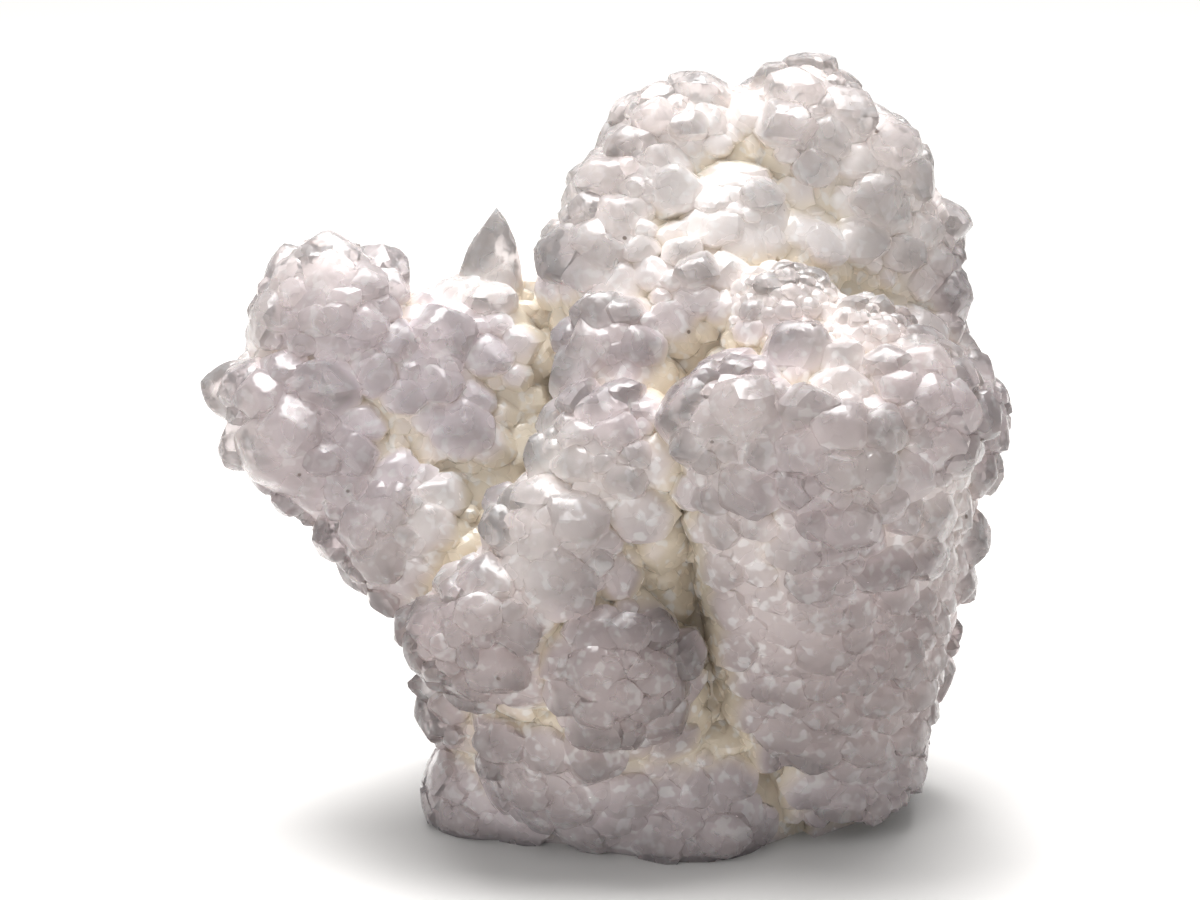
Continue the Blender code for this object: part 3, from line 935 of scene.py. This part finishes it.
def add_node(tree: bpy.types.NodeTree, kind: str, settings: Settings, links: Links) -> bpy.types.Node:
    """Adds one node.

    Args:
        tree: the material's or world's node tree.
        kind: the node's type.
        settings: values for its own properties, or for its inputs by name or number.
        links: the socket that feeds each input, by the input's name or number.

    Returns:
        The node.
    """
    node = tree.nodes.new(kind)
    for name, value in settings.items():
        if isinstance(name, str) and hasattr(node, name):
            setattr(node, name, value)
        else:
            node.inputs[name].default_value = value
    for name, socket in links.items():
        tree.links.new(socket, node.inputs[name])
    return node


@dataclass(frozen=True)
class Layer:
    """A tone laid over the ones before it.

    It covers the first share where the measure has the first of its two values, the second share where it
    has the second, and runs smoothly from one to the other.
    """

    measure: str
    between: tuple[float, float]
    share: tuple[float, float]
    tone: Tone


@dataclass(frozen=True)
class CalciteFinish:
    """Natural calcite with grown, glassy faces: milky stone below, clearing to glassy points.

    The milk in the stone scatters light through several millimetres, so shaded sides still glow, and the
    clear points show darker, greyer edges where they bend the light.
    """

    # Calcite's index runs from 1.49 to 1.66 by direction. The low end gives small crystals their soft edges.
    ior: float = 1.5
    # How far light spreads in the milk, how much of it does, and how much is absorbed in a metre.
    scatter_mm: float = 3.5
    scatter_by_colour: tuple[float, float, float] = (1.0, 0.85, 0.75)
    scatter_weight: float = 0.55
    absorption: float = 10.0
    # Patches of lilac tint and clearness, and swells of smoother and more etched growth.
    patch_mm: float = 16.0
    swell_mm: float = 2.2
    # Growth faces are a few tenths of a millimetre wide, and veils of bubbles are thinner still. Both are
    # drawn coarser, so that they show.
    facet_mm: float = 0.9
    veil_mm: float = 1.4
    # The specks stand about this far apart.
    speck_mm: float = 6.0
    # The cloudy noises' number of finer octaves, and how strong those are.
    noise_detail: float = 1.0
    noise_roughness: float = 0.55
    # The share that is see-through runs from the first clearness to the second as the bulk, shifted by the
    # patch times the first unevenness plus the second, falls through clear_bulk.
    clear_bulk: tuple[float, float] = (0.57, 0.37)
    unevenness: tuple[float, float] = (-0.25, 0.12)
    clearness: tuple[float, float] = (0.18, 0.75)
    # The roughness runs from glassy to etched as the swell rises through etched.
    etched: tuple[float, float] = (0.35, 0.7)
    roughness: tuple[float, float] = (0.08, 0.36)
    facet_tilt: float = 0.18
    layers: tuple[Layer, ...] = (
        Layer("patch", (0.4, 0.62), (0.0, 1.0), Tone.LILAC),
        # Painted shade: greyer towards the right side, and a little at the far left.
        Layer("side", (-9.0 * MM, 4.0 * MM), (0.0, 0.5), Tone.PAINTED_SHADE),
        Layer("side", (-27.0 * MM, -33.0 * MM), (0.0, 0.3), Tone.PAINTED_SHADE),
        # Painted light: whiter towards the crowns, which the light from above falls on.
        Layer("height", (54.0 * MM, 66.0 * MM), (0.0, 0.7), Tone.MILK),
        # Painted shade: greyer down the lower flanks, which lie in shade.
        Layer("height", (46.0 * MM, 22.0 * MM), (0.0, 0.9), Tone.PAINTED_SHADE),
        # Painted light: paler again near the foot, which the painted shade above would leave too dark.
        Layer("height", (14.0 * MM, 3.0 * MM), (0.0, 0.6), Tone.LILAC),
        Layer("bulk", (0.46, 0.3), (0.0, 0.15), Tone.GREY),
        # Cream and tan in the valleys: partly the warm tone of thick stone, partly painted shade.
        Layer("bulk", (0.52, 0.66), (0.0, 0.75), Tone.CREAM),
        Layer("bulk", (0.66, 0.84), (0.0, 0.4), Tone.TAN),
        Layer("veil", (0.54, 0.66), (0.0, 0.45), Tone.DAYLIGHT),
        Layer("speck", (0.03, 0.05), (0.85, 0.0), Tone.STAIN),
    )

    def material(self) -> bpy.types.Material:
        """Builds the stone's material, on the piece's own bulk and Object coordinates.

        Returns:
            The material.
        """
        made = bpy.data.materials.new("natural_calcite_grown_faces")
        made.use_nodes = True
        tree = made.node_tree
        shader = tree.nodes["Principled BSDF"]
        output = tree.nodes["Material Output"]
        measures = self.measures(tree)
        tree.links.new(self.colour(tree, measures), shader.inputs["Base Color"])
        tree.links.new(self.clear_share(tree, measures), shader.inputs["Transmission Weight"])
        tree.links.new(self.gloss(tree, measures), shader.inputs["Roughness"])
        tree.links.new(self.relief(tree, measures), shader.inputs["Normal"])
        shader.inputs["IOR"].default_value = self.ior
        shader.inputs["Subsurface Weight"].default_value = self.scatter_weight
        shader.inputs["Subsurface Scale"].default_value = self.scatter_mm * MM
        shader.inputs["Subsurface Radius"].default_value = self.scatter_by_colour
        shader.subsurface_method = "BURLEY"
        settings = {"Color": linear(Tone.ABSORPTION), "Density": self.absorption}
        depth = add_node(tree, "ShaderNodeVolumeAbsorption", settings, {})
        tree.links.new(depth.outputs["Volume"], output.inputs["Volume"])
        return made

    def measures(self, tree: bpy.types.NodeTree) -> Measures:
        """What the pattern reads: the place, its side, height and bulk, three cloudy noises, and the specks.

        Args:
            tree: the material's node tree.

        Returns:
            The socket for each name. The specks' one gives the distance to the nearest speck's middle.
        """
        place = add_node(tree, "ShaderNodeTexCoord", {}, {}).outputs["Object"]
        found = {
            "place": place,
            "side": add_node(tree, "ShaderNodeSeparateXYZ", {}, {"Vector": place}).outputs["X"],
            "height": add_node(tree, "ShaderNodeSeparateXYZ", {}, {"Vector": place}).outputs["Z"],
            "bulk": add_node(tree, "ShaderNodeAttribute", {"attribute_name": "bulk"}, {}).outputs["Fac"],
        }
        settings = {"Detail": self.noise_detail, "Roughness": self.noise_roughness}
        for name, size_mm in (("patch", self.patch_mm), ("swell", self.swell_mm), ("veil", self.veil_mm)):
            settings |= {"Scale": 1.0 / (size_mm * MM)}
            found[name] = add_node(tree, "ShaderNodeTexNoise", settings, {"Vector": place}).outputs["Fac"]
        settings = {"Scale": 1.0 / (self.speck_mm * MM), "feature": "F1"}
        cells = add_node(tree, "ShaderNodeTexVoronoi", settings, {"Vector": place})
        return found | {"speck": cells.outputs["Distance"]}

    def colour(self, tree: bpy.types.NodeTree, measures: Measures) -> bpy.types.NodeSocket:
        """Milk-white stone under its layers, several of which paint in light and shade.

        Args:
            tree: the material's node tree.
            measures: what measures gives.

        Returns:
            The colour.
        """
        settings, links = {MIX_UNDER: linear(Tone.MILK)}, {}
        for layer in self.layers:
            run = SMOOTH | dict(zip(RANGE_ENDS, layer.between + layer.share))
            share = add_node(tree, "ShaderNodeMapRange", run, {"Value": measures[layer.measure]})
            settings |= {"data_type": "RGBA", MIX_OVER: linear(layer.tone)}
            links |= {MIX_SHARE: share.outputs["Result"]}
            mix = add_node(tree, "ShaderNodeMix", settings, links)
            settings, links = {}, {MIX_UNDER: mix.outputs[MIX_RESULT]}
        return mix.outputs[MIX_RESULT]

    def clear_share(self, tree: bpy.types.NodeTree, measures: Measures) -> bpy.types.NodeSocket:
        """How far the stone is see-through: least in its bulk, most at the tips, in uneven patches.

        Args:
            tree: the material's node tree.
            measures: what measures gives.

        Returns:
            The share.
        """
        settings = {"operation": "MULTIPLY_ADD", 1: self.unevenness[0], 2: self.unevenness[1]}
        uneven = add_node(tree, "ShaderNodeMath", settings, {0: measures["patch"]})
        links = {0: measures["bulk"], 1: uneven.outputs[0]}
        total = add_node(tree, "ShaderNodeMath", {"operation": "ADD"}, links)
        run = SMOOTH | dict(zip(RANGE_ENDS, self.clear_bulk + self.clearness))
        return add_node(tree, "ShaderNodeMapRange", run, {"Value": total.outputs[0]}).outputs["Result"]

    def gloss(self, tree: bpy.types.NodeTree, measures: Measures) -> bpy.types.NodeSocket:
        """The roughness: glassy on grown faces, duller where they are etched."""
        run = SMOOTH | dict(zip(RANGE_ENDS, self.etched + self.roughness))
        return add_node(tree, "ShaderNodeMapRange", run, {"Value": measures["swell"]}).outputs["Result"]

    def relief(self, tree: bpy.types.NodeTree, measures: Measures) -> bpy.types.NodeSocket:
        """Small flat growth faces, each tilted its own way.

        A face's height at a point is (random direction - 1/2) . (point - the face's middle), in metres and in
        cells of about facet_mm.

        Args:
            tree: the material's node tree.
            measures: what measures gives.

        Returns:
            The normal.
        """
        place = measures["place"]
        settings = {"Scale": 1.0 / (self.facet_mm * MM), "feature": "F1"}
        cells = add_node(tree, "ShaderNodeTexVoronoi", settings, {"Vector": place})
        links = {0: place, 1: cells.outputs["Position"]}
        from_middle = add_node(tree, "ShaderNodeVectorMath", {"operation": "SUBTRACT"}, links)
        settings = {"operation": "SUBTRACT", 1: (0.5, 0.5, 0.5)}
        lean = add_node(tree, "ShaderNodeVectorMath", settings, {0: cells.outputs["Color"]})
        links = {0: from_middle.outputs[0], 1: lean.outputs[0]}
        height = add_node(tree, "ShaderNodeVectorMath", {"operation": "DOT_PRODUCT"}, links)
        settings = {"Strength": self.facet_tilt, "Distance": 1.0}
        links = {"Height": height.outputs["Value"]}
        return add_node(tree, "ShaderNodeBump", settings, links).outputs["Normal"]


@dataclass(frozen=True)
class MilkFinish:
    """Calcite clouded by tiny inclusions, inside the stone, which turn the light back like milk."""

    roughness: float = 0.6

    def material(self) -> bpy.types.Material:
        """Builds the clouded stone's material.

        Returns:
            The material.
        """
        made = bpy.data.materials.new("clouded_calcite_inside")
        made.use_nodes = True
        shader = made.node_tree.nodes["Principled BSDF"]
        shader.inputs["Base Color"].default_value = linear(Tone.MILK)
        shader.inputs["Roughness"].default_value = self.roughness
        return made


@dataclass(frozen=True)
class Lamp:
    """A soft square light: its place and side are in metres, and its power in watts."""

    name: str
    place: Point
    size: float
    power: float


@dataclass
class Studio:
    """A plain pale floor, a soft surround, soft lights and the camera at the photo's angle."""

    # The floor is a square of board, a hair under the stone.
    floor_mm: float = 6000.0
    floor_drop_mm: float = 0.02
    board_roughness: float = 0.9
    surround: float = 0.5
    lamps: tuple[Lamp, ...] = (
        Lamp("ceiling", (0.0, 0.35, 1.5), 1.2, 22.0),
        Lamp("top", (-0.03, 0.08, 0.36), 0.25, 1.5),
        Lamp("left_front", (-0.4, -0.55, 0.12), 0.6, 1.4),
    )
    # The lights face this place on the stone, in metres.
    lamps_aim: Point = (0.0, 0.0, 0.04)
    # The lens and sensor in millimetres, the distance and nearest sight in metres, the angle in degrees.
    lens: float = 100.0
    sensor: float = 36.0
    distance: float = 0.364
    nearest: float = 0.01
    elevation: float = 15.0
    # The place on the stone that the camera faces, in millimetres.
    aim: Point = (-0.98, -3.40, 40.5)
    # How often light is followed on, in all and by kind, kept low to save time.
    bounces: int = 4
    diffuse_bounces: int = 1
    glossy_bounces: int = 1

    def floor(self) -> None:
        """A wide, flat square of matt white board."""
        half, low = self.floor_mm / 2, -self.floor_drop_mm
        corners = np.array([(-half, -half, low), (half, -half, low), (half, half, low), (-half, half, low)])
        mesh = mesh_from("studio_floor", corners, np.array([(0, 1, 2), (0, 2, 3)]))
        board = bpy.data.materials.new("matt_white_board")
        board.use_nodes = True
        shader = board.node_tree.nodes["Principled BSDF"]
        shader.inputs["Base Color"].default_value = linear(Tone.FLOOR)
        shader.inputs["Roughness"].default_value = self.board_roughness
        mesh.materials.append(board)
        floor = placed("studio_floor", mesh)

    def light(self, lamp: Lamp) -> None:
        """Puts up one light, facing the stone.

        Args:
            lamp: the light.
        """
        square = bpy.data.lights.new(lamp.name, "AREA")
        square.size = lamp.size
        square.energy = lamp.power
        thing = bpy.data.objects.new(lamp.name, square)
        bpy.context.scene.collection.objects.link(thing)
        thing.location = lamp.place
        toward = Vector(self.lamps_aim) - thing.location
        thing.rotation_euler = toward.to_track_quat("-Z", "Y").to_euler()

    def world(self) -> None:
        """An even white surround."""
        surround = bpy.data.worlds.new("studio_surround")
        surround.use_nodes = True
        background = surround.node_tree.nodes["Background"]
        background.inputs["Color"].default_value = linear(Tone.DAYLIGHT)
        background.inputs["Strength"].default_value = self.surround
        bpy.context.scene.world = surround

    def camera(self) -> None:
        """The camera, in front and a little above, aimed at the middle of the stone."""
        lens = bpy.data.cameras.new("studio_camera")
        lens.lens = self.lens
        lens.sensor_width = self.sensor
        lens.clip_start = self.nearest
        thing = bpy.data.objects.new("studio_camera", lens)
        bpy.context.scene.collection.objects.link(thing)
        rise = math.radians(self.elevation)
        back = Vector((0.0, -math.cos(rise), math.sin(rise)))
        thing.location = Vector(self.aim) * MM + back * self.distance
        thing.rotation_euler = (-back).to_track_quat("-Z", "Y").to_euler()
        bpy.context.scene.camera = thing

    def build(self) -> None:
        """Sets up the floor, the surround, the lights and the camera."""
        self.floor()
        self.world()
        for lamp in self.lamps:
            self.light(lamp)
        self.camera()
        bpy.context.scene.view_settings.view_transform = "Standard"
        cycles = bpy.context.scene.cycles
        cycles.max_bounces = self.bounces
        cycles.diffuse_bounces = self.diffuse_bounces
        cycles.glossy_bounces = self.glossy_bounces


def main() -> None:
    """Builds the stone and the studio."""
    logging.basicConfig(level=logging.INFO, format="%(name)s: %(message)s")
    for piece in Stone().build():
        LOG.info("%s: %d faces", piece.name, len(piece.data.polygons))
    Studio().build()
    LOG.info("studio: floor, lights, camera")


if __name__ == "__main__":
    main()
